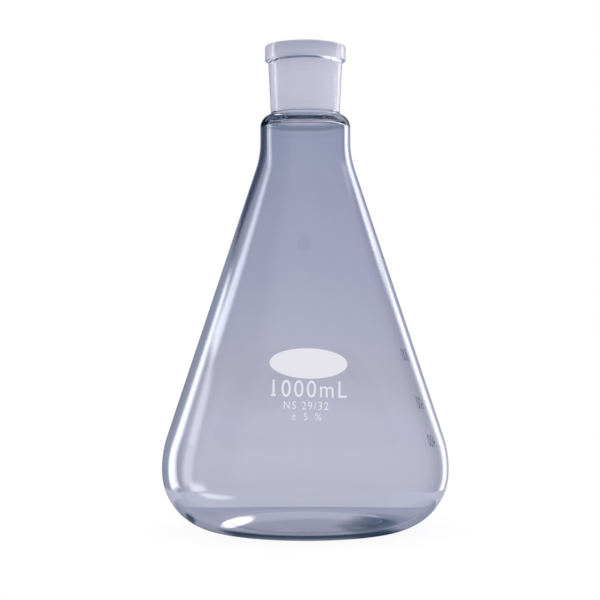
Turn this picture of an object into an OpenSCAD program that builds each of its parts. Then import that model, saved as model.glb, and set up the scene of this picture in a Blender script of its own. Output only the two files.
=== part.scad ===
// Conical laboratory flask with a ground socket, a fired marking spot and a volume scale.
// The glass is one revolved solid. Millimetres, +Z up, standing on z = 0, printed front facing -Y.

/* [Body] */
// Overall height, from the surface it stands on to the top of the rim
flask_h = 221.5; // [200:0.5:245]
// Largest outside diameter
body_d = 131; // [115:0.5:150]
// Height at which the body is widest
belly_z = 28; // [25:0.5:34]
// Radius of the outside curve from the widest point up into the cone
belly_r = 47; // [36:1:70]
// Radius of the outside curve from the widest point down to the foot, at most the height of that point
heel_r = 27; // [15:0.5:30]
// Thickness of the blown wall
wall = 2; // [1.2:0.1:3]

/* [Base] */
// Thickness of the base at its middle
base_t = 2.6; // [1.6:0.1:4.5]
// Rise of the underside above the table at its middle
push_up = 1.5; // [0.4:0.1:3]
// Width of the flat ring that the flask stands on
foot_w = 3; // [1:0.5:8]

/* [Neck] */
// Outside diameter of the short collar between the cone and the shoulder
collar_d = 41.4; // [39:0.1:45]
// Height of the collar's straight part
collar_h = 6.6; // [1:0.1:12]
// Radius of the hollow sweep from the cone up into the collar
throat_r = 40; // [25:1:90]
// Outside radius of the shoulder that closes the collar in to the socket
shoulder_r = 6.3; // [4:0.1:8]
// Radius of the corner inside the shoulder
corner_r = 1.6; // [0.8:0.1:4]
// Radius of the fillet where the socket rises out of the shoulder
seal_fillet = 0.8; // [0.4:0.1:2]
// Height of that fillet's upper edge above the small end of the ground bore
seal_rise = 1.1; // [0:0.1:2]
// Length of plain tube between the ground bore and the rounded lip under it
seal_l = 1.4; // [0:0.1:4]
// Rounding of that lip, inside the shoulder
lip_r = 1.8; // [0.5:0.1:2.4]

/* [Ground socket] */
// Bore diameter at the wide end of the ground taper
socket_d = 29.2; // [27:0.1:31]
// Length of the ground taper
socket_l = 32; // [24:0.5:36]
// Diameter lost for each millimetre of ground length
socket_taper = 0.1; // [0.05:0.01:0.12]
// Wall of the socket
socket_wall = 2.85; // [2:0.05:3.2]
// Height of the bead round the rim
rim_h = 7; // [4:0.1:10]
// Amount that the bead stands out from the socket
rim_step = 1.45; // [0.6:0.05:2.5]
// Rounding of the bead's upper edge
rim_top_r = 1.1; // [0.5:0.1:2.8]
// Rounding of the bead's lower edge
rim_low_r = 0.6; // [0.2:0.1:1]
// Rounding of the mouth's inner edge
mouth_r = 0.5; // [0.2:0.1:1]

/* [Print] */
// Thickness of the fired enamel, measured straight out from the axis
enamel_t = 0.15; // [0.05:0.01:0.4]
// Clearance between the glass and the enamel
enamel_gap = 0.01; // [0.005:0.005:0.05]
// Width of the marking spot, measured straight across
spot_w = 33.2; // [15:0.2:45]
// Height of the marking spot, measured straight up
spot_h = 12.8; // [8:0.2:20]
// Height of the marking spot's middle
spot_z = 77; // [65:0.5:110]
// Angle of the marking spot round the axis from the front
spot_turn = 1.6; // [-180:0.1:180]
// Lean of the marking spot, with its right end down
spot_lean = 1.5; // [-10:0.5:10]
// Angle of the volume scale round the axis from the front
scale_turn = 95; // [-180:1:180]
// Smallest volume marked on the scale, in millilitres
scale_first = 400; // [200:100:500]
// Step from one mark to the next, in millilitres
scale_step = 100; // [50:50:200]
// Largest volume marked on the scale, in millilitres
scale_last = 900; // [700:100:1000]
// Volume at whose multiples the scale lines are long, in millilitres
long_every = 200; // [200:100:500]
// Length of a long scale line
long_line = 8; // [5:0.5:20]
// Length of a short scale line
short_line = 5; // [3:0.5:10]
// Thickness of a scale line
line_t = 0.4; // [0.3:0.05:1]

/* [Hidden] */
// Angle that one straight step of a curve turns through, and steps round the axis
arc_step = 4;
round_fn = 180;
ellipse_fn = 72;
glass_tint = [0.72, 0.76, 0.86, 0.45];
enamel_white = [0.93, 0.93, 0.95];
// Millilitres in a cubic millimetre
ml = 0.001;
// Small overreach of a cutting shape, and the distance below which two points are one
over = 1;
tiny = 1e-6;

body_r = body_d / 2;
collar_r = collar_d / 2;

// Socket: bore radius and outside radius at a height
taper_a = atan(socket_taper / 2);
bore_end_z = flask_h - socket_l;
function bore_r(z) = (socket_d - socket_taper * (flask_h - z)) / 2;
function tube_r(z) = bore_r(z) + socket_wall;
rim_z = flask_h - rim_h;
rim_r = tube_r(rim_z) + rim_step;

// Shoulder: its arc and the fillet touch, and the fillet touches the socket's outside
seal_z = bore_end_z + seal_rise;
seal_c = [tube_r(seal_z) + seal_fillet * cos(taper_a), seal_z - seal_fillet * sin(taper_a)];
shoulder_cx = collar_r - shoulder_r;
shoulder_z = seal_c.y - sqrt(pow(shoulder_r + seal_fillet, 2) - pow(seal_c.x - shoulder_cx, 2));
seal_a = atan2(seal_c.y - shoulder_z, seal_c.x - shoulder_cx);

// Inside the shoulder: the lip at the end of the plain tube, and the corner, which stays outside the lip
lip_c = [bore_r(bore_end_z) + lip_r, bore_end_z - seal_l];
corner = min(corner_r, collar_r - wall - lip_c.x);
corner_c = [collar_r - wall - corner, shoulder_z];

// Body: the heel arc lies inside the belly arc, and the cone touches the belly and the throat
heel = min(heel_r, belly_z);
throat_c = [collar_r + throat_r, shoulder_z - collar_h];
belly_c = [body_r - belly_r, belly_z];
heel_c = [belly_c.x + sqrt(pow(belly_r - heel, 2) - pow(belly_z - heel, 2)), heel];
heel_a = atan2(heel_c.y - belly_c.y, heel_c.x - belly_c.x);
reach = throat_c - belly_c;
cone_a = atan2(reach.y, reach.x) - acos((belly_r + throat_r) / norm(reach));
foot_r = heel_c.x;

// Underside: a shallow dome inside the foot ring. Inside: a dome that runs into the heel
dome_edge = foot_r - foot_w;
under_r = (pow(dome_edge, 2) + pow(push_up, 2)) / (2 * push_up);
floor_top = push_up + base_t;
heel_in = heel - wall;
heel_drop = heel - floor_top;
floor_r = (pow(foot_r, 2) + pow(heel_drop, 2) - pow(heel_in, 2)) / (2 * (heel_in - heel_drop));
floor_a = asin(foot_r / (floor_r + heel_in));
dome_steps = 8;

function arc(c, r, a0, a1, steps = 0) =
    let (n = steps > 0 ? steps : max(2, ceil(abs(a1 - a0) / arc_step)))
    [for (i = [0:n]) let (a = a0 + (a1 - a0) * i / n) c + r * [cos(a), sin(a)]];

// Points without the repeats where one arc runs into the next
function run_on(pts) = [for (i = [0:len(pts) - 1]) if (i == 0 || norm(pts[i] - pts[i - 1]) > tiny) pts[i]];

// Outside of the body, from the middle of the underside up to the seal with the socket
body_outside = run_on(concat(
    arc([0, push_up - under_r], under_r, 90, 90 - asin(dome_edge / under_r), dome_steps),
    arc(heel_c, heel, -90, heel_a),
    arc(belly_c, belly_r, heel_a, 0),
    arc(belly_c, belly_r, 0, cone_a),
    arc(throat_c, throat_r, 180 + cone_a, 180),
    arc([shoulder_cx, shoulder_z], shoulder_r, 0, seal_a),
    arc(seal_c, seal_fillet, 180 + seal_a, 180 - taper_a)
));

// Outside of the rim's bead, from its underside over the top to the mouth
rim_outside = concat(
    [[tube_r(rim_z), rim_z]],
    arc([rim_r - rim_low_r, rim_z + rim_low_r], rim_low_r, -90, 0, 4),
    arc([rim_r - rim_top_r, flask_h - rim_top_r], rim_top_r, 0, 90, 9),
    arc([socket_d / 2 + mouth_r, flask_h - mouth_r], mouth_r, 90, 180, 4)
);

// Inside, from the middle of the floor up to the small end of the bore
body_inside = run_on(concat(
    arc([0, floor_top - floor_r], floor_r, 90, 90 - floor_a, dome_steps),
    arc(heel_c, heel_in, -90 - floor_a, heel_a),
    arc(belly_c, belly_r - wall, heel_a, cone_a),
    arc(throat_c, throat_r + wall, 180 + cone_a, 180),
    arc(corner_c, corner, 0, 90, 8),
    arc(lip_c, lip_r, 270, 180, 6),
    [[bore_r(bore_end_z), bore_end_z]]
));

function backwards(pts) = [for (i = [len(pts) - 1:-1:0]) pts[i]];

// Volume of the inside below a level: the sum of the slices of each straight step of the wall
function slice(a, b) = PI / 3 * (b.y - a.y) * (a.x * a.x + a.x * b.x + b.x * b.x);
function cut_at(a, b, z) = b.y <= z ? b : a + (b - a) * (z - a.y) / (b.y - a.y);
function volume_below(z) = ml * sum_of([
    for (i = [0:len(body_inside) - 2]) let (a = body_inside[i], b = body_inside[i + 1])
        if (a.y < z || b.y < z) slice(a, cut_at(a, b, z))
]);
function sum_of(v) = [for (x = v) 1] * v;

// Level at which a volume stands, found by halving
function level_of(v, lo = floor_top, hi = bore_end_z, n = 24) =
    n == 0 ? (lo + hi) / 2 :
    let (mid = (lo + hi) / 2)
    volume_below(mid) < v ? level_of(v, mid, hi, n - 1) : level_of(v, lo, mid, n - 1);

// Point of the outside at a height, and a strip of enamel that follows the wall between two heights
rising = [for (i = [0:len(body_outside) - 2]) if (body_outside[i + 1].y > body_outside[i].y) i];
function outside_at(z) =
    let (i = [for (k = rising) if (body_outside[k + 1].y >= z) k][0],
         a = body_outside[i], b = body_outside[i + 1])
    a + (b - a) * (z - a.y) / (b.y - a.y);
function print_strip(z0, z1) =
    let (face = concat([outside_at(z0)],
                       [for (p = body_outside) if (p.y > z0 + tiny && p.y < z1 - tiny) p],
                       [outside_at(z1)]))
    concat([for (p = face) p + [enamel_gap, 0]],
           backwards([for (p = face) p + [enamel_gap + enamel_t, 0]]));

module flask() {
    color(glass_tint)
        rotate_extrude($fn = round_fn)
            polygon(concat(body_outside, rim_outside, backwards(body_inside)));
}

// An oval of enamel lying on the cone
module marking_spot() {
    low = spot_z - spot_h / 2 - over;
    high = spot_z + spot_h / 2 + over;
    color(enamel_white)
        rotate([0, 0, spot_turn])
            intersection() {
                rotate([0, 0, -135])
                    rotate_extrude(angle = 90, $fn = round_fn)
                        polygon(print_strip(low, high));
                translate([0, 0, spot_z])
                    rotate([90, spot_lean, 0])
                        linear_extrude(height = body_r + over)
                            polygon([for (i = [0:ellipse_fn - 1]) let (a = 360 * i / ellipse_fn)
                                [spot_w / 2 * cos(a), spot_h / 2 * sin(a)]]);
            }
}

// A line of enamel round the glass at a level
module scale_line(z, length) {
    turn = length / outside_at(z).x * 180 / PI;
    rotate([0, 0, scale_turn - 90 - turn / 2])
        rotate_extrude(angle = turn, $fn = round_fn)
            polygon(print_strip(z - line_t / 2, z + line_t / 2));
}

module volume_scale() {
    color(enamel_white)
        for (v = [scale_first:scale_step:scale_last])
            scale_line(level_of(v), v % long_every == 0 ? long_line : short_line);
}

flask();
marking_spot();
volume_scale();
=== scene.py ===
import math

import bpy
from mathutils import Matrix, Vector

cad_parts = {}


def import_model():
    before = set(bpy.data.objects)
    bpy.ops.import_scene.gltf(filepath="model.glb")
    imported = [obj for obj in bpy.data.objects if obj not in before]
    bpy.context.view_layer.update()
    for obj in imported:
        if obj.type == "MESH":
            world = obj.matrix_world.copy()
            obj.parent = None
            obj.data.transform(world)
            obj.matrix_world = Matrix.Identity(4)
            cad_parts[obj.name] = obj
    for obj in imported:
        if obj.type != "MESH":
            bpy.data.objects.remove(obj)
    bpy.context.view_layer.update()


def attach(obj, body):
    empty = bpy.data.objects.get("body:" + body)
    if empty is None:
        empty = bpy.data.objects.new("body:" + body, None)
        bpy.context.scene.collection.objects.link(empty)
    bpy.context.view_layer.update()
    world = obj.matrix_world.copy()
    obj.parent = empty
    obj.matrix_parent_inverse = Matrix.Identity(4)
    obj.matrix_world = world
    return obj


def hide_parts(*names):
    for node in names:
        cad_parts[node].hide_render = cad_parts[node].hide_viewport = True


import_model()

MM = 0.001
BODY = "root"

# Sizes of the glass, in millimetres, as in the part's source
FLASK_H = 221.5
BODY_R = 65.5
BELLY_Z = 28
BELLY_R = 47
HEEL_R = 27
WALL = 2
BASE_T = 2.6
PUSH_UP = 1.5
FOOT_W = 3
COLLAR_R = 20.7
COLLAR_H = 6.6
THROAT_R = 40
SHOULDER_R = 6.3
CORNER_R = 1.6
SEAL_FILLET = 0.8
SEAL_RISE = 1.1
SEAL_L = 1.4
LIP_R = 1.8
SOCKET_D = 29.2
SOCKET_L = 32
SOCKET_TAPER = 0.1
SOCKET_WALL = 2.85
RIM_H = 7
RIM_STEP = 1.45
RIM_TOP_R = 1.1
RIM_LOW_R = 0.6
MOUTH_R = 0.5

# The bore is frosted from a little above its small end to the mouth, but for a thin clear ring at the rim,
# which shows as the dark line under the rim
FROST_END_Z = 191.2
CLEAR_RING = (215.7, 215.1, 214.4)
RIM_FROST_Z = 215.1

# Print: the marking spot, the words under it and the volume scale
SPOT_W = 33.2
SPOT_H = 12.8
SPOT_Z = 77
SPOT_TURN = 1.6
PRINT_LEAN = 1.5
SCALE_TURN = 95
SCALE_VOLUMES = range(400, 901, 100)
LONG_EVERY = 200
LONG_LINE = 8
SHORT_LINE = 5
LINE_T = 0.4
NUMERAL_TURN = 105.5
NUMERAL_H = 6.2
NUMERAL_SQUEEZE = 0.78
NUMERAL_RISE = 1.6
ENAMEL_OUT = 0.08
ENAMEL_IN = 0.03

# Words under the marking spot: piece, words, capital height, squeeze across, change of stroke, spacing
# of the letters, height of the base line and turn
WORDS = [
    ("capacity_mark", "1000mL", 7.3, 0.88, 0.0, 1.21, 62.9, 1.9),
    ("socket_mark", "NS 29/32", 3.4, 0.88, -0.004, 1.26, 57.8, 0.3),
    ("tolerance_mark", "± 5 %", 3.2, 0.98, -0.006, 1.35, 53.4, 0.4),
]

# Foot bars of the first letter, and the height of the font's capitals as a share of its size
FOOT_L = 2.1
FOOT_T = 0.8
CAP_SHARE = 0.729

# Finishes: refractive index, and how much light the frosting lets through below the rim and in the rim
GLASS_IOR = 1.474
FROST_CLARITY = (0.55, 0.72)
FROST_BLEND = 0.3

# How finely curves are stepped: degrees of an arc, millimetres along a line and steps round the axis
ARC_STEP = 2
LONGEST_STEP = 3
ROUND_STEPS = 144

# The photograph's view: the camera stands a little below half height and looks a little up
CAMERA_DISTANCE = 700
CAMERA_HEIGHT = 95
PX_PER_MM = 2.1765
FRAME_PX = 600
AXIS_PX = (305.3, 321.1)
SENSOR = 36


# Profile of the glass

def arc(centre, radius, start, end):
    """Points along an arc, with its angles in degrees."""
    length = radius * math.radians(abs(end - start))
    steps = max(4, math.ceil(abs(end - start) / ARC_STEP), math.ceil(length / LONGEST_STEP))
    turns = [math.radians(start + (end - start) * i / steps) for i in range(steps + 1)]
    return [(centre[0] + radius * math.cos(a), centre[1] + radius * math.sin(a)) for a in turns]


def filled(points):
    """The points with long straight stretches divided and repeats left out."""
    out = [points[0]]
    for x, z in points[1:]:
        x0, z0 = out[-1]
        length = math.hypot(x - x0, z - z0)
        if length < 1e-6:
            continue
        steps = math.ceil(length / LONGEST_STEP)
        out += [(x0 + (x - x0) * i / steps, z0 + (z - z0) * i / steps) for i in range(1, steps + 1)]
    return out


def bore_r(z):
    return (SOCKET_D - SOCKET_TAPER * (FLASK_H - z)) / 2


def tube_r(z):
    return bore_r(z) + SOCKET_WALL


def glass_shape():
    """Centres and angles that the outside and inside of the glass share."""
    s = {}
    s["taper"] = math.degrees(math.atan(SOCKET_TAPER / 2))
    s["bore_end"] = FLASK_H - SOCKET_L
    seal_z = s["bore_end"] + SEAL_RISE
    taper = math.radians(s["taper"])
    s["seal"] = (tube_r(seal_z) + SEAL_FILLET * math.cos(taper), seal_z - SEAL_FILLET * math.sin(taper))
    cx = COLLAR_R - SHOULDER_R
    rise = math.sqrt((SHOULDER_R + SEAL_FILLET) ** 2 - (s["seal"][0] - cx) ** 2)
    s["shoulder"] = (cx, s["seal"][1] - rise)
    s["seal_turn"] = math.degrees(math.atan2(rise, s["seal"][0] - cx))
    s["throat"] = (COLLAR_R + THROAT_R, s["shoulder"][1] - COLLAR_H)
    s["belly"] = (BODY_R - BELLY_R, BELLY_Z)
    run = math.sqrt((BELLY_R - HEEL_R) ** 2 - (BELLY_Z - HEEL_R) ** 2)
    s["heel"] = (s["belly"][0] + run, HEEL_R)
    s["heel_turn"] = math.degrees(math.atan2(HEEL_R - BELLY_Z, run))
    reach = (s["throat"][0] - s["belly"][0], s["throat"][1] - s["belly"][1])
    lean = math.acos((BELLY_R + THROAT_R) / math.hypot(*reach))
    s["cone"] = math.degrees(math.atan2(reach[1], reach[0]) - lean)
    return s


SHAPE = glass_shape()


def outside_points():
    """The outside, from the middle of the underside up to the mouth."""
    s = SHAPE
    edge = s["heel"][0] - FOOT_W
    under_r = (edge ** 2 + PUSH_UP ** 2) / (2 * PUSH_UP)
    under_turn = 90 - math.degrees(math.asin(edge / under_r))
    rim_z = FLASK_H - RIM_H
    rim_r = tube_r(rim_z) + RIM_STEP
    return (
        arc((0, PUSH_UP - under_r), under_r, 90, under_turn)
        + arc(s["heel"], HEEL_R, -90, s["heel_turn"])
        + arc(s["belly"], BELLY_R, s["heel_turn"], 0)
        + arc(s["belly"], BELLY_R, 0, s["cone"])
        + arc(s["throat"], THROAT_R, 180 + s["cone"], 180)
        + arc(s["shoulder"], SHOULDER_R, 0, s["seal_turn"])
        + arc(s["seal"], SEAL_FILLET, 180 + s["seal_turn"], 180 - s["taper"])
        + [(tube_r(rim_z), rim_z)]
        + arc((rim_r - RIM_LOW_R, rim_z + RIM_LOW_R), RIM_LOW_R, -90, 0)
        + arc((rim_r - RIM_TOP_R, FLASK_H - RIM_TOP_R), RIM_TOP_R, 0, 90)
        + arc((SOCKET_D / 2 + MOUTH_R, FLASK_H - MOUTH_R), MOUTH_R, 90, 180)
    )


def inside_points():
    """The inside, from the clear ring down the bore to the middle of the floor."""
    s = SHAPE
    heel_in = HEEL_R - WALL
    floor_top = PUSH_UP + BASE_T
    drop = HEEL_R - floor_top
    floor_r = (s["heel"][0] ** 2 + drop ** 2 - heel_in ** 2) / (2 * (heel_in - drop))
    floor_turn = math.degrees(math.asin(s["heel"][0] / (floor_r + heel_in)))
    end_r = bore_r(s["bore_end"])
    return (
        [(bore_r(z), z) for z in (*CLEAR_RING, FROST_END_Z)]
        + [(end_r, s["bore_end"])]
        + arc((end_r + LIP_R, s["bore_end"] - SEAL_L), LIP_R, 180, 270)
        + arc((COLLAR_R - WALL - CORNER_R, s["shoulder"][1]), CORNER_R, 90, 0)
        + arc(s["throat"], THROAT_R + WALL, 180, 180 + s["cone"])
        + arc(s["belly"], BELLY_R - WALL, s["cone"], s["heel_turn"])
        + arc(s["heel"], HEEL_R - WALL, s["heel_turn"], -90 - floor_turn)
        + arc((0, floor_top - floor_r), floor_r, 90 - floor_turn, 90)
    )


OUTSIDE = filled(outside_points())
INSIDE = filled([OUTSIDE[-1]] + inside_points())


def level_of(volume):
    """Height at which a volume in millilitres stands inside the glass."""
    total = 0
    steps = list(reversed(INSIDE))
    for (r0, z0), (r1, z1) in zip(steps, steps[1:]):
        part = math.pi / 3 * (z1 - z0) * (r0 * r0 + r0 * r1 + r1 * r1) / 1000
        if z1 > z0 and total + part >= volume:
            return z0 + (z1 - z0) * (volume - total) / part
        total += part
    return steps[-1][1]


# Node trees

class Tree:
    """Adds nodes to a tree and links them as they are made."""

    def __init__(self, nodes_of):
        self.tree = nodes_of
        self.nodes = nodes_of.nodes
        self.links = nodes_of.links

    def add(self, kind, *inputs, out=0, **settings):
        """A node with its inputs given in order, each a value, a socket or None, and one of its outputs."""
        node = self.nodes.new(kind)
        named = settings.pop("by_name", {})
        for key, value in settings.items():
            setattr(node, key, value)
        pairs = list(zip(node.inputs, inputs)) + [(node.inputs[k], v) for k, v in named.items()]
        for socket, value in pairs:
            if value is None:
                continue
            if isinstance(value, bpy.types.NodeSocket):
                self.links.new(value, socket)
            else:
                socket.default_value = value
        return node.outputs[out] if node.outputs else node

    def maths(self, operation, a, b=None, c=None):
        return self.add("ShaderNodeMath", a, b, c, operation=operation)

    def parts(self, vector):
        """The x, y and z of a vector."""
        node = self.nodes.new("ShaderNodeSeparateXYZ")
        self.links.new(vector, node.inputs[0])
        return node.outputs


def geometry_tree(name, inputs):
    """An empty Geometry Nodes tree, the sockets that give its inputs and the socket for what it makes."""
    tree = bpy.data.node_groups.new(name, "GeometryNodeTree")
    tree.interface.new_socket("Geometry", in_out="INPUT", socket_type="NodeSocketGeometry")
    for label, kind in inputs:
        tree.interface.new_socket(label, in_out="INPUT", socket_type=kind)
    tree.interface.new_socket("Geometry", in_out="OUTPUT", socket_type="NodeSocketGeometry")
    t = Tree(tree)
    start = tree.nodes.new("NodeGroupInput")
    end = tree.nodes.new("NodeGroupOutput")
    return t, start.outputs, end.inputs[0]


def with_nodes(obj, tree, values):
    """A plain mesh object of what the tree makes of obj, which is removed."""
    mod = obj.modifiers.new(tree.name, "NODES")
    mod.node_group = tree
    for item in tree.interface.items_tree:
        if item.in_out == "INPUT" and item.name in values:
            mod[item.identifier] = values[item.name]
    name = obj.name
    evaluated = obj.evaluated_get(bpy.context.evaluated_depsgraph_get())
    mesh = bpy.data.meshes.new_from_object(evaluated)
    bpy.data.objects.remove(obj)
    made = bpy.data.objects.new(name, mesh)
    bpy.context.scene.collection.objects.link(made)
    return made


def mesh_object(name, points, edges=(), faces=()):
    mesh = bpy.data.meshes.new(name)
    mesh.from_pydata(points, list(edges), list(faces))
    made = bpy.data.objects.new(name, mesh)
    bpy.context.scene.collection.objects.link(made)
    return made


def revolve_tree():
    """Turns a line of points in the XZ plane into a closed shell round Z."""
    kinds = [("Steps Round", "NodeSocketInt"), ("Glass", "NodeSocketMaterial"),
             ("Ground", "NodeSocketMaterial")]
    t, given, end = geometry_tree("turned_glass", kinds)
    line = given["Geometry"]
    count = t.add("GeometryNodeAttributeDomainSize", line, component="MESH")
    ring = t.maths("ADD", given["Steps Round"], 1)
    grid = t.add("GeometryNodeMeshGrid", 1, 1, ring, count)
    index = t.add("GeometryNodeInputIndex")
    along = t.maths("FLOORED_MODULO", index, count)
    across = t.maths("FLOOR", t.maths("DIVIDE", index, count))
    here = t.add("GeometryNodeInputPosition")
    spot = t.add("GeometryNodeSampleIndex", line, here, along, data_type="FLOAT_VECTOR", domain="POINT")
    turn = t.maths("DIVIDE", t.maths("MULTIPLY", across, math.tau), given["Steps Round"])
    turned = t.add("ShaderNodeVectorRotate", spot, None, None, turn, rotation_type="Z_AXIS")
    mark = t.add("GeometryNodeInputNamedAttribute", "ground", data_type="FLOAT")
    marked = t.add("GeometryNodeSampleIndex", line, mark, along, data_type="FLOAT", domain="POINT")
    placed = t.add("GeometryNodeSetPosition", grid, None, turned)
    stored = t.add("GeometryNodeStoreNamedAttribute", placed, None, "ground_mark", marked,
                   data_type="FLOAT", domain="POINT")
    whole = t.add("GeometryNodeMergeByDistance", stored, None, by_name={"Distance": 1e-6})
    smooth = t.add("GeometryNodeSetShadeSmooth", whole)
    real = t.add("GeometryNodeRealizeInstances", smooth)
    clear = t.add("GeometryNodeSetMaterial", real, None, given["Glass"])
    kept = t.add("GeometryNodeInputNamedAttribute", "ground_mark", data_type="FLOAT")
    is_ground = t.add("FunctionNodeCompare", kept, 0.99, data_type="FLOAT", operation="GREATER_THAN")
    done = t.add("GeometryNodeSetMaterial", clear, is_ground, given["Ground"])
    t.links.new(done, end)
    return t.tree


def flask(glass, ground):
    """The whole piece of glass, with its ground bore as a second finish."""
    line = OUTSIDE + INSIDE[1:]
    points = [(x * MM, 0, z * MM) for x, z in line]
    edges = [(i, i + 1) for i in range(len(line) - 1)]
    made = mesh_object("flask_glass", points, edges)
    first = len(OUTSIDE) - 1
    last = first + next(i for i, (x, z) in enumerate(INSIDE) if z <= FROST_END_Z + 1e-6)
    mark = made.data.attributes.new("ground", "FLOAT", "POINT")
    frosted = [first <= i <= last and abs(z - CLEAR_RING[1]) > 0.1 for i, (x, z) in enumerate(line)]
    mark.data.foreach_set("value", [float(f) for f in frosted])
    return with_nodes(made, revolve_tree(), {"Steps Round": ROUND_STEPS, "Glass": glass, "Ground": ground})


def wrap_tree():
    """Lays a flat print round the glass: x across, y up, z out from the surface."""
    kinds = [("Turn", "NodeSocketFloat"), ("Height", "NodeSocketFloat"), ("Lean", "NodeSocketFloat"),
             ("Divisions", "NodeSocketInt"), ("Enamel", "NodeSocketMaterial")]
    t, given, end = geometry_tree("print_on_glass", kinds)
    flat = t.add("GeometryNodeSubdivideMesh", given["Geometry"], given["Divisions"])
    here = t.add("GeometryNodeInputPosition")
    leaning = t.add("ShaderNodeVectorRotate", here, None, None, given["Lean"], rotation_type="Z_AXIS")
    x, y, out = t.parts(leaning)
    z = t.maths("ADD", y, given["Height"])
    cone = math.radians(SHAPE["cone"])
    join_z = (SHAPE["belly"][1] + BELLY_R * math.sin(cone)) * MM
    join_r = (SHAPE["belly"][0] + BELLY_R * math.cos(cone)) * MM
    on_cone = t.maths("MULTIPLY_ADD", t.maths("SUBTRACT", z, join_z), -math.tan(cone), join_r)
    off_belly = t.maths("SUBTRACT", z, BELLY_Z * MM)
    chord = t.maths("SUBTRACT", (BELLY_R * MM) ** 2, t.maths("MULTIPLY", off_belly, off_belly))
    on_belly = t.maths("ADD", t.maths("SQRT", chord), SHAPE["belly"][0] * MM)
    is_belly = t.maths("LESS_THAN", z, join_z)
    wall_r = t.add("ShaderNodeMix", is_belly, None, on_cone, on_belly, data_type="FLOAT")
    r = t.maths("ADD", wall_r, out)
    turn = t.maths("ADD", t.maths("ARCSINE", t.maths("DIVIDE", x, wall_r)), given["Turn"])
    place = t.add("ShaderNodeCombineXYZ", t.maths("MULTIPLY", r, t.maths("SINE", turn)),
                  t.maths("MULTIPLY", t.maths("MULTIPLY", r, t.maths("COSINE", turn)), -1), z)
    moved = t.add("GeometryNodeSetPosition", flat, None, place)
    real = t.add("GeometryNodeRealizeInstances", moved)
    done = t.add("GeometryNodeSetMaterial", real, None, given["Enamel"])
    t.links.new(done, end)
    return t.tree


def wrapped(obj, tree, enamel, turn, height, lean=0.0, divisions=0):
    values = {"Turn": math.radians(turn), "Height": height * MM, "Lean": -math.radians(lean),
              "Divisions": divisions, "Enamel": enamel}
    return with_nodes(obj, tree, values)


def thickened(name, points, faces):
    """A closed slab of enamel over flat faces in millimetres, from just in the glass to just out of it."""
    n = len(points)
    low = [(x * MM, y * MM, -ENAMEL_IN * MM) for x, y in points]
    high = [(x * MM, y * MM, ENAMEL_OUT * MM) for x, y in points]
    sides = dict.fromkeys((a, b) for f in faces for a, b in zip(f, f[1:] + f[:1]))
    rim = [(a, b) for a, b in sides if (b, a) not in sides]
    solid = [tuple(n + i for i in f) for f in faces] + [tuple(reversed(f)) for f in faces]
    solid += [(a, b, n + b, n + a) for a, b in rim]
    return mesh_object(name, low + high, faces=solid)


def disc_of(width, height, rings=10, steps=96):
    """Points and faces of an oval, from the middle out."""
    points = [(0.0, 0.0)]
    for k in range(1, rings + 1):
        for i in range(steps):
            a = math.tau * i / steps
            points.append((width / 2 * k / rings * math.cos(a), height / 2 * k / rings * math.sin(a)))
    faces = [(0, 1 + i, 1 + (i + 1) % steps) for i in range(steps)]
    for k in range(rings - 1):
        a = 1 + k * steps
        b = a + steps
        faces += [(a + i, b + i, b + (i + 1) % steps, a + (i + 1) % steps) for i in range(steps)]
    return points, faces


def bar_of(width, height, steps=16):
    """Points and faces of a thin bar, divided along its length."""
    across = [-width / 2 + width * i / steps for i in range(steps + 1)]
    points = [(x, y) for y in (-height / 2, height / 2) for x in across]
    row = steps + 1
    faces = [(i, i + 1, row + i + 1, row + i) for i in range(steps)]
    return points, faces


def letters_of(words, height, squeeze, thin=0.0, spacing=1.0):
    """Points and faces of flat words in millimetres, centred across, standing on their base line."""
    curve = bpy.data.curves.new(words, "FONT")
    curve.body = words
    curve.size = 1
    curve.offset = thin
    curve.space_character = spacing
    curve.resolution_u = 6
    obj = bpy.data.objects.new(words, curve)
    bpy.context.scene.collection.objects.link(obj)
    mesh = bpy.data.meshes.new_from_object(obj.evaluated_get(bpy.context.evaluated_depsgraph_get()))
    bpy.data.objects.remove(obj)
    size = height / CAP_SHARE
    xs = [v.co.x for v in mesh.vertices]
    middle = (min(xs) + max(xs)) / 2
    points = [((v.co.x - middle) * size * squeeze, v.co.y * size) for v in mesh.vertices]
    faces = [tuple(p.vertices) for p in mesh.polygons]
    return points, faces


def footed(points, faces):
    """Letters with a foot on both sides of the first one's stem."""
    left = min(x for x, y in points)
    stem = [x for x, y in points if y < 0.1 and x < left + 3]
    middle = (min(stem) + max(stem)) / 2
    for x0, x1 in ((middle - FOOT_L / 2, min(stem)), (max(stem), middle + FOOT_L / 2)):
        n = len(points)
        points = points + [(x0, 0), (x1, 0), (x1, FOOT_T), (x0, FOOT_T)]
        faces = faces + [(n, n + 1, n + 2, n + 3)]
    return points, faces


def joined(name, made):
    """One object of several."""
    for o in bpy.context.selected_objects:
        o.select_set(False)
    for o in made:
        o.select_set(True)
    bpy.context.view_layer.objects.active = made[0]
    bpy.ops.object.join()
    made[0].name = name
    return made[0]


# Materials

def material(name):
    m = bpy.data.materials.new(name)
    m.use_nodes = True
    t = Tree(m.node_tree)
    return m, t, m.node_tree.nodes["Principled BSDF"]


def noise_of(t, scale, detail=2.0, stretch=(1, 1, 1)):
    """Noise from 0 to 1 on the object's own coordinates, with its scale per metre."""
    where = t.add("ShaderNodeTexCoord", out="Object")
    sized = t.add("ShaderNodeVectorMath", where, stretch, operation="MULTIPLY")
    return t.add("ShaderNodeTexNoise", sized, None, scale, detail)


def tint_between(t, p, factor, low, high):
    """Base colour between two by a factor."""
    t.links.new(blend_colours(t, factor, low, high), p.inputs["Base Color"])


def rough_between(t, p, factor, low, high):
    t.links.new(t.add("ShaderNodeMapRange", factor, 0.3, 0.7, low, high), p.inputs["Roughness"])


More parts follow.
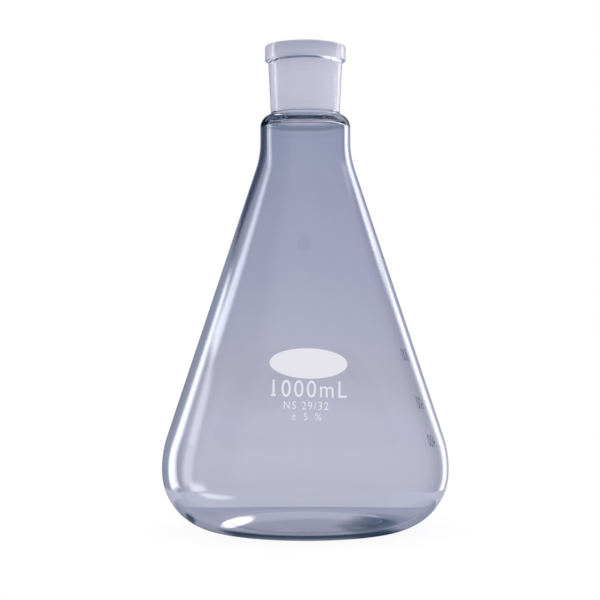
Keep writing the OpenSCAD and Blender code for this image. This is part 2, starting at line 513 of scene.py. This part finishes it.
def bumped(t, p, height, distance):
    """Relief of a height pattern, with its depth in millimetres."""
    bump = t.add("ShaderNodeBump", by_name={"Height": height, "Distance": distance * MM})
    t.links.new(bump, p.inputs["Normal"])


def clear_glass():
    """Blown glass: a faint blue tint that drifts, and a slow waviness of the surface."""
    m, t, p = material("clear_glass")
    tint_between(t, p, noise_of(t, 24), (0.985, 0.989, 0.998), (0.995, 0.995, 0.998))
    p.inputs["Transmission Weight"].default_value = 1
    p.inputs["IOR"].default_value = GLASS_IOR
    p.inputs["Roughness"].default_value = 0
    bumped(t, p, noise_of(t, 30, 1.0, (1, 1, 0.5)), 0.06)
    return m


def ground_glass():
    """Frosting: fine grain, and the faint rings that the grinding tool leaves. It is clearer in the rim."""
    m, t, p = material("ground_glass")
    grain = noise_of(t, 2500, 3.0)
    rings = noise_of(t, 900, 2.0, (0.02, 0.02, 1))
    both = t.maths("ADD", t.maths("MULTIPLY", grain, 0.4), t.maths("MULTIPLY", rings, 0.6))
    tint_between(t, p, rings, (0.90, 0.90, 0.95), (1.0, 1.0, 1.0))
    height = t.parts(t.add("ShaderNodeTexCoord", out="Object"))[2]
    low, high = (RIM_FROST_Z - FROST_BLEND) * MM, (RIM_FROST_Z + FROST_BLEND) * MM
    clarity = t.add("ShaderNodeMapRange", height, low, high, *FROST_CLARITY)
    t.links.new(clarity, p.inputs["Transmission Weight"])
    p.inputs["IOR"].default_value = GLASS_IOR
    rough_between(t, p, grain, 0.42, 0.58)
    bumped(t, p, both, 0.02)
    return m


def white_enamel():
    """Fired enamel: a slightly mottled white with a fine grain."""
    m, t, p = material("white_enamel")
    tint_between(t, p, noise_of(t, 700, 3.0), (0.93, 0.91, 0.95), (0.97, 0.95, 0.98))
    rough_between(t, p, noise_of(t, 2200, 2.0), 0.42, 0.6)
    bumped(t, p, noise_of(t, 3000, 2.0), 0.006)
    return m


# Scene round the object

# The studio that the glass shows is a round screen about the flask, in millimetres. Diffuse rays see the
# world instead.
SCREEN_R = 300
SCREEN_LOW = -150
SCREEN_HIGH = 850
SCREEN_STEPS = 96

# Turns of a ray in the glass, as Ray Depth counts them: above these it has five or more, or six or more
UNDER_FIVE = 4.5
UNDER_SIX = 5.5

# Light boxes on the screen. Azimuth is in degrees from straight behind, positive to the right of the
# photograph, and elevation is measured from the camera's height on the axis. Each side of a box is given
# at the horizon with the degrees that it leans for each degree up.
LIGHT_BOXES = [
    {"left": (-63, 0.17), "right": (-51.6, 0.0), "up": (-26, 19), "soft": 2, "colour": (2.6, 2.75, 2.75)},
    {"left": (-88.5, 0), "right": (-76.5, 0), "up": (-24, 1), "soft": 2, "colour": (1.3, 1.35, 1.45)},
    {"left": (-88, 0.45), "right": (-76, 0.45), "up": (1, 13), "soft": 2, "colour": (1.65, 1.7, 1.8)},
    {"left": (-71.2, -0.37), "right": (-55.5, -0.53), "up": (13, 38), "soft": 2, "colour": (2.8, 2.9, 3.0)},
    {"left": (37.5, 0), "right": (48.5, 0.1), "up": (-38, 18), "soft": 4, "colour": (1.65, 1.7, 1.75)},
    {"left": (34, 0), "right": (47, 0), "up": (14, 40), "soft": 4, "colour": (0.9, 0.92, 1.0)},
    {"left": (46, 0), "right": (55, 0), "up": (18, 34), "soft": 4, "colour": (2.4, 2.4, 2.5)},
    {"left": (10, 0), "right": (48, 0), "up": (40, 75), "soft": 4, "colour": (1.15, 1.15, 1.25)},
    {"left": (46, 0), "right": (76, 0), "up": (35, 75), "soft": 5, "colour": (2.3, 2.3, 2.4)},
    {"left": (-100, 0), "right": (-84, 0), "up": (-60, -22), "soft": 4, "colour": (3.0, 3.0, 3.05)},
]

# Light on frosting and print that are seen through the glass: what is left of it after six turns, and the
# light by azimuth, strongest from both sides
TRAPPED_LIGHT = (0.2, 0.28, 0.45)
SOFT_LIGHT = [
    (-180, (0.9, 0.88, 1.06)),
    (-90, (1.9, 1.82, 2.1)),
    (0, (1.0, 0.98, 1.17)),
    (90, (2.4, 2.3, 2.55)),
    (180, (0.9, 0.88, 1.06)),
]

# Dark places that only rays with five turns or more show
DARK_IMAGES = [
    {"left": (8.5, 0), "right": (17, 0), "up": (-17, 3), "soft": 2, "colour": (0.04, 0.08, 0.15)},
]

# The wall behind the flask by elevation, and the rest of the room by azimuth, in degrees
WALL_COLOURS = [
    (-20, (0.52, 0.52, 0.64)),
    (-12, (0.52, 0.52, 0.65)),
    (-7, (0.46, 0.455, 0.56)),
    (0, (0.42, 0.425, 0.56)),
    (8, (0.36, 0.375, 0.52)),
    (16, (0.32, 0.34, 0.475)),
    (24, (0.30, 0.33, 0.48)),
    (29, (0.23, 0.27, 0.38)),
    (40, (0.15, 0.19, 0.28)),
    (55, (0.10, 0.14, 0.22)),
    (70, (0.12, 0.16, 0.25)),
]
ROOM_COLOURS = [
    (-180, (0.44, 0.46, 0.48)),
    (-136, (0.40, 0.43, 0.45)),
    (-120, (0.12, 0.13, 0.18)),
    (-98, (0.20, 0.22, 0.28)),
    (-90, (0.06, 0.07, 0.11)),
    (-70, (0.10, 0.12, 0.18)),
    (-48, (0.26, 0.30, 0.42)),
    (-30, (0.24, 0.27, 0.36)),
    (50, (0.40, 0.42, 0.52)),
    (56, (0.05, 0.07, 0.12)),
    (67, (0.03, 0.05, 0.09)),
    (79, (0.24, 0.26, 0.34)),
    (105, (0.30, 0.32, 0.38)),
    (180, (0.44, 0.46, 0.48)),
]

# Azimuths over which the wall gives way to the room on both sides
WALL_LEFT_END = (-17, -23)
WALL_RIGHT_END = (46, 54)

# The left side is dark high up, round the box there: elevations over which that begins, azimuths over which
# it ends, and its colour
LEFT_DARK_UP = (15, 21)
LEFT_DARK_ROUND = (-150, -120)
LEFT_DARK = (0.02, 0.035, 0.07)

# Elevations over which the wall turns into the ceiling for rays with many turns, the ceiling for those and
# for the others, and the table beyond the screen
WALL_TOP = (30, 44)
DARK_CEILING = (0.05, 0.075, 0.135)
PALE_CEILING = (0.33, 0.36, 0.46)
FAR_TABLE = (0.48, 0.49, 0.6)


def smooth_step(t, value, low, high):
    """0 at low, 1 at high and smooth between, whichever of the two is more."""
    return t.add("ShaderNodeMapRange", value, low, high, 0.0, 1.0, interpolation_type="SMOOTHSTEP")


def light_box(t, azimuth, elevation, box):
    """Mask of one light box, 1 inside it."""
    soft = box["soft"]
    mask = None
    for value, edge, lean, sign in ((azimuth, *box["left"], 1), (azimuth, *box["right"], -1),
                                    (elevation, box["up"][0], 0, 1), (elevation, box["up"][1], 0, -1)):
        off = t.maths("SUBTRACT", value, t.maths("MULTIPLY_ADD", elevation, lean, edge))
        side = smooth_step(t, off, -sign * soft, sign * soft)
        mask = side if mask is None else t.maths("MULTIPLY", mask, side)
    return mask


def ramp_of(t, value, stops):
    """Colour along a ramp whose stops are given in the value's own units."""
    low, high = stops[0][0], stops[-1][0]
    ramp = t.nodes.new("ShaderNodeValToRGB")
    t.links.new(t.add("ShaderNodeMapRange", value, low, high, 0.0, 1.0), ramp.inputs[0])
    for place, colour in stops[1:-1]:
        ramp.color_ramp.elements.new((place - low) / (high - low))
    for element, (place, colour) in zip(ramp.color_ramp.elements, stops):
        element.position = (place - low) / (high - low)
        element.color = (*colour, 1)
    return ramp.outputs[0]


def blend_colours(t, factor, a, b):
    """Colour a where factor is 0 and b where it is 1."""
    node = t.nodes.new("ShaderNodeMix")
    node.data_type = "RGBA"
    for socket, value in zip((node.inputs["Factor"], node.inputs[6], node.inputs[7]), (factor, a, b)):
        if isinstance(value, bpy.types.NodeSocket):
            t.links.new(value, socket)
        else:
            socket.default_value = value if isinstance(value, float) else (*value, 1)
    return node.outputs[2]


def surroundings(t):
    """What glass shows of the studio, by the place on the screen: strength 1 is white."""
    x, y, z = t.parts(t.add("ShaderNodeTexCoord", out="Object"))
    azimuth = t.maths("DEGREES", t.maths("ARCTAN2", x, y))
    rise = t.maths("SUBTRACT", z, CAMERA_HEIGHT * MM)
    elevation = t.maths("DEGREES", t.maths("ARCTANGENT", t.maths("DIVIDE", rise, SCREEN_R * MM)))
    behind = ramp_of(t, elevation, WALL_COLOURS)
    room = ramp_of(t, azimuth, ROOM_COLOURS)
    left_end = smooth_step(t, azimuth, *WALL_LEFT_END)
    right_end = smooth_step(t, azimuth, *WALL_RIGHT_END)
    level = blend_colours(t, t.maths("MAXIMUM", left_end, right_end), behind, room)
    high = t.maths("MULTIPLY", smooth_step(t, elevation, *LEFT_DARK_UP), left_end)
    high = t.maths("MULTIPLY", high, smooth_step(t, azimuth, *LEFT_DARK_ROUND))
    colour = blend_colours(t, high, level, LEFT_DARK)
    for box in LIGHT_BOXES:
        colour = blend_colours(t, light_box(t, azimuth, elevation, box), colour, box["colour"])
    # Five turns of a ray lead to images of the boxes that the real, uneven glass doesn't show, and what the
    # frosting and the enamel scatter comes from the whole studio
    rays = t.nodes.new("ShaderNodeLightPath")
    deep = t.maths("GREATER_THAN", rays.outputs["Ray Depth"], UNDER_FIVE)
    scattered = t.maths("GREATER_THAN", rays.outputs["Diffuse Depth"], 0.5)
    dimmed = blend_colours(t, smooth_step(t, elevation, *WALL_TOP), behind, DARK_CEILING)
    for box in DARK_IMAGES:
        dimmed = blend_colours(t, light_box(t, azimuth, elevation, box), dimmed, box["colour"])
    colour = blend_colours(t, deep, colour, dimmed)
    trapped = t.maths("GREATER_THAN", rays.outputs["Ray Depth"], UNDER_SIX)
    soft = blend_colours(t, trapped, ramp_of(t, azimuth, SOFT_LIGHT), TRAPPED_LIGHT)
    return blend_colours(t, scattered, colour, soft)


def screen():
    """The round screen, seen only by rays that have been bent or mirrored."""
    steps = SCREEN_STEPS
    turns = [math.tau * i / steps for i in range(steps)]
    ring = [(SCREEN_R * MM * math.sin(a), SCREEN_R * MM * math.cos(a)) for a in turns]
    points = [(x, y, z * MM) for z in (SCREEN_LOW, SCREEN_HIGH) for x, y in ring]
    faces = [(i, steps + i, steps + (i + 1) % steps, (i + 1) % steps) for i in range(steps)]
    made = mesh_object("studio_screen", points, faces=faces)
    m, t, p = material("studio_screen")
    glow = t.add("ShaderNodeEmission", surroundings(t), 1.0)
    t.links.new(glow, m.node_tree.nodes["Material Output"].inputs["Surface"])
    t.nodes.remove(p)
    made.data.materials.append(m)
    made.visible_camera = False
    made.visible_diffuse = False
    made.visible_shadow = False


def world():
    """White behind everything for the camera, and even light on what is rough."""
    w = bpy.data.worlds.new("studio")
    bpy.context.scene.world = w
    w.use_nodes = True
    t = Tree(w.node_tree)
    out = w.node_tree.nodes["World Output"]
    for n in list(t.nodes):
        if n != out:
            t.nodes.remove(n)
    rays = t.nodes.new("ShaderNodeLightPath")
    seen = t.add("ShaderNodeBackground", (1, 1, 1, 1), 1.0)
    # Above the screen is the ceiling, and below it the table
    slope = t.parts(t.add("ShaderNodeTexCoord"))[2]
    deep = t.maths("GREATER_THAN", rays.outputs["Ray Depth"], UNDER_FIVE)
    ceiling = blend_colours(t, deep, PALE_CEILING, DARK_CEILING)
    beyond = blend_colours(t, smooth_step(t, slope, -0.2, 0.2), FAR_TABLE, ceiling)
    through = t.add("ShaderNodeBackground", beyond, 1.0)
    light = t.add("ShaderNodeBackground", (0.95, 0.96, 1, 1), 0.9)
    lit = t.add("ShaderNodeMixShader", rays.outputs["Is Diffuse Ray"], through, light)
    whole = t.add("ShaderNodeMixShader", rays.outputs["Is Camera Ray"], lit, seen)
    t.links.new(whole, out.inputs["Surface"])


# The table: half its side in millimetres, its own colour and glow, and its colour through the glass
TABLE_HALF = 103
TABLE_COLOUR = (0.14, 0.14, 0.145)
TABLE_GLOW = 0.89
TABLE_THROUGH = (0.52, 0.522, 0.645)

# Painted shadows and painted highlights on the table, seen through the glass: middle and half widths in
# millimetres, turn in degrees, softness of the edge as a share of the half widths, and colour. The first is
# painted shadow of the flask under it, the second and third painted shade beside and under the heel, the
# last two painted highlights. Those brighter than white show only to rays with fewer than five turns.
TABLE_SHADOW_AND_LIGHT_PATCHES = [
    (0, 0, 84, 54.6, 0, 0.03, (0.30, 0.32, 0.43)),
    (-57, -8, 5, 9, 0, 0.4, (0.05, 0.08, 0.12)),
    (29, -12, 14.5, 24, 0, 0.2, (0.0, 0.035, 0.09)),
    (-31, -3, 5.5, 18, -15, 0.25, (2.6, 2.6, 2.6)),
    (-78, -55, 23, 7, -42, 0.3, (3.2, 3.2, 3.25)),
]

# The painted contact shadow, a dark line on the table under the front of the heel: radius, half width,
# where it ends, the length of that end and colour
CONTACT_SHADOW_R = 46.5
CONTACT_SHADOW_W = 5
CONTACT_SHADOW_Y = -26
CONTACT_SHADOW_END = 8
CONTACT_SHADOW_COLOUR = (0.03, 0.055, 0.09)


def floor():
    """The table, pale to the camera and blue grey through the glass, where it carries painted shadows and
    painted highlights.
    """
    half = TABLE_HALF * MM
    made = mesh_object("floor", [(-half, -half, 0), (half, -half, 0), (half, half, 0), (-half, half, 0)],
                       faces=[(0, 1, 2, 3)])
    m, t, p = material("pale_table")
    p.inputs["Base Color"].default_value = (*TABLE_COLOUR, 1)
    p.inputs["Roughness"].default_value = 0.8
    p.inputs["Specular IOR Level"].default_value = 0.0
    out = m.node_tree.nodes["Material Output"]
    rays = t.nodes.new("ShaderNodeLightPath")
    glow = t.add("ShaderNodeEmission", (1, 1, 1, 1), TABLE_GLOW)
    both = t.add("ShaderNodeAddShader", p.outputs[0], glow)
    where = t.add("ShaderNodeTexCoord", out="Object")
    shade = TABLE_THROUGH
    few = t.maths("LESS_THAN", rays.outputs["Ray Depth"], UNDER_FIVE)
    # Painted shadows and painted highlights laid onto the table's colour as the glass shows it
    for x, y, rx, ry, turn, soft, colour in TABLE_SHADOW_AND_LIGHT_PATCHES:
        place = t.add("ShaderNodeVectorMath", where, (-x * MM, -y * MM, 0), operation="ADD")
        back = math.radians(-turn)
        turned = t.add("ShaderNodeVectorRotate", place, None, None, back, rotation_type="Z_AXIS")
        share = (1 / (rx * MM), 1 / (ry * MM), 0)
        sized = t.add("ShaderNodeVectorMath", turned, share, operation="MULTIPLY")
        near = t.add("ShaderNodeVectorMath", sized, operation="LENGTH", out="Value")
        mask = smooth_step(t, near, 1 + soft, 1 - soft)
        if max(colour) > 1:
            mask = t.maths("MULTIPLY", mask, few)
        shade = blend_colours(t, mask, shade, colour)
    # Painted contact shadow: a dark ring on the table under the front of the heel, seen through the glass
    flat = t.add("ShaderNodeVectorMath", where, (1, 1, 0), operation="MULTIPLY")
    reach = t.add("ShaderNodeVectorMath", flat, operation="LENGTH", out="Value")
    off = t.maths("ABSOLUTE", t.maths("SUBTRACT", reach, CONTACT_SHADOW_R * MM))
    ring = smooth_step(t, off, CONTACT_SHADOW_W * MM, CONTACT_SHADOW_W * MM / 2)
    front = smooth_step(t, t.parts(where)[1], CONTACT_SHADOW_Y * MM, (CONTACT_SHADOW_Y - CONTACT_SHADOW_END) * MM)
    shade = blend_colours(t, t.maths("MULTIPLY", ring, front), shade, CONTACT_SHADOW_COLOUR)
    through = t.add("ShaderNodeEmission", shade, 1.0)
    plainly = t.maths("MAXIMUM", rays.outputs["Is Camera Ray"], rays.outputs["Is Diffuse Ray"])
    whole = t.add("ShaderNodeMixShader", plainly, through, both)
    t.links.new(whole, out.inputs["Surface"])
    made.data.materials.append(m)


def camera():
    """The photograph's camera, with its scale at the axis and the axis where the photograph has it."""
    cam = bpy.data.cameras.new("camera")
    cam.sensor_width = SENSOR
    cam.lens = SENSOR * PX_PER_MM * CAMERA_DISTANCE / FRAME_PX
    made = bpy.data.objects.new("camera", cam)
    place = Vector((0, -CAMERA_DISTANCE, CAMERA_HEIGHT)) * MM
    aside = (FRAME_PX / 2 - AXIS_PX[0]) / PX_PER_MM
    up = (AXIS_PX[1] - FRAME_PX / 2) / PX_PER_MM
    aim = Vector((aside, 0, CAMERA_HEIGHT + up)) * MM
    made.location = place
    made.rotation_euler = (aim - place).to_track_quat("-Z", "Y").to_euler()
    bpy.context.scene.collection.objects.link(made)
    bpy.context.scene.camera = made


camera()
world()
screen()
floor()

glass = clear_glass()
ground = ground_glass()
enamel = white_enamel()

body = flask(glass, ground)
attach(body, BODY)
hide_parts("flask")

wrap = wrap_tree()
spot = wrapped(thickened("spot", *disc_of(SPOT_W, SPOT_H)), wrap, enamel, SPOT_TURN, SPOT_Z, PRINT_LEAN)
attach(spot, BODY)
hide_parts("marking_spot")

for name, words, height, squeeze, thin, spacing, base, turn in WORDS:
    flat = letters_of(words, height, squeeze, thin, spacing)
    made = thickened(name, *(footed(*flat) if words.startswith("1") else flat))
    placed = wrapped(made, wrap, enamel, turn, base, PRINT_LEAN, divisions=2)
    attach(placed, BODY)

lines = []
numerals = []
for volume in SCALE_VOLUMES:
    long = volume % LONG_EVERY == 0
    level = level_of(volume)
    bar = thickened("scale_line", *bar_of(LONG_LINE if long else SHORT_LINE, LINE_T))
    lines.append(wrapped(bar, wrap, enamel, SCALE_TURN, level))
    if long:
        made = thickened("numeral", *letters_of(str(volume), NUMERAL_H, NUMERAL_SQUEEZE))
        base = level - NUMERAL_H / 2 + NUMERAL_RISE
        numerals.append(wrapped(made, wrap, enamel, NUMERAL_TURN, base, divisions=2))
scale = joined("volume_scale_lines", lines)
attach(scale, BODY)
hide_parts("volume_scale")
numbers = joined("volume_scale_numerals", numerals)
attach(numbers, BODY)

view = bpy.context.scene.view_settings
view.view_transform = "Standard"
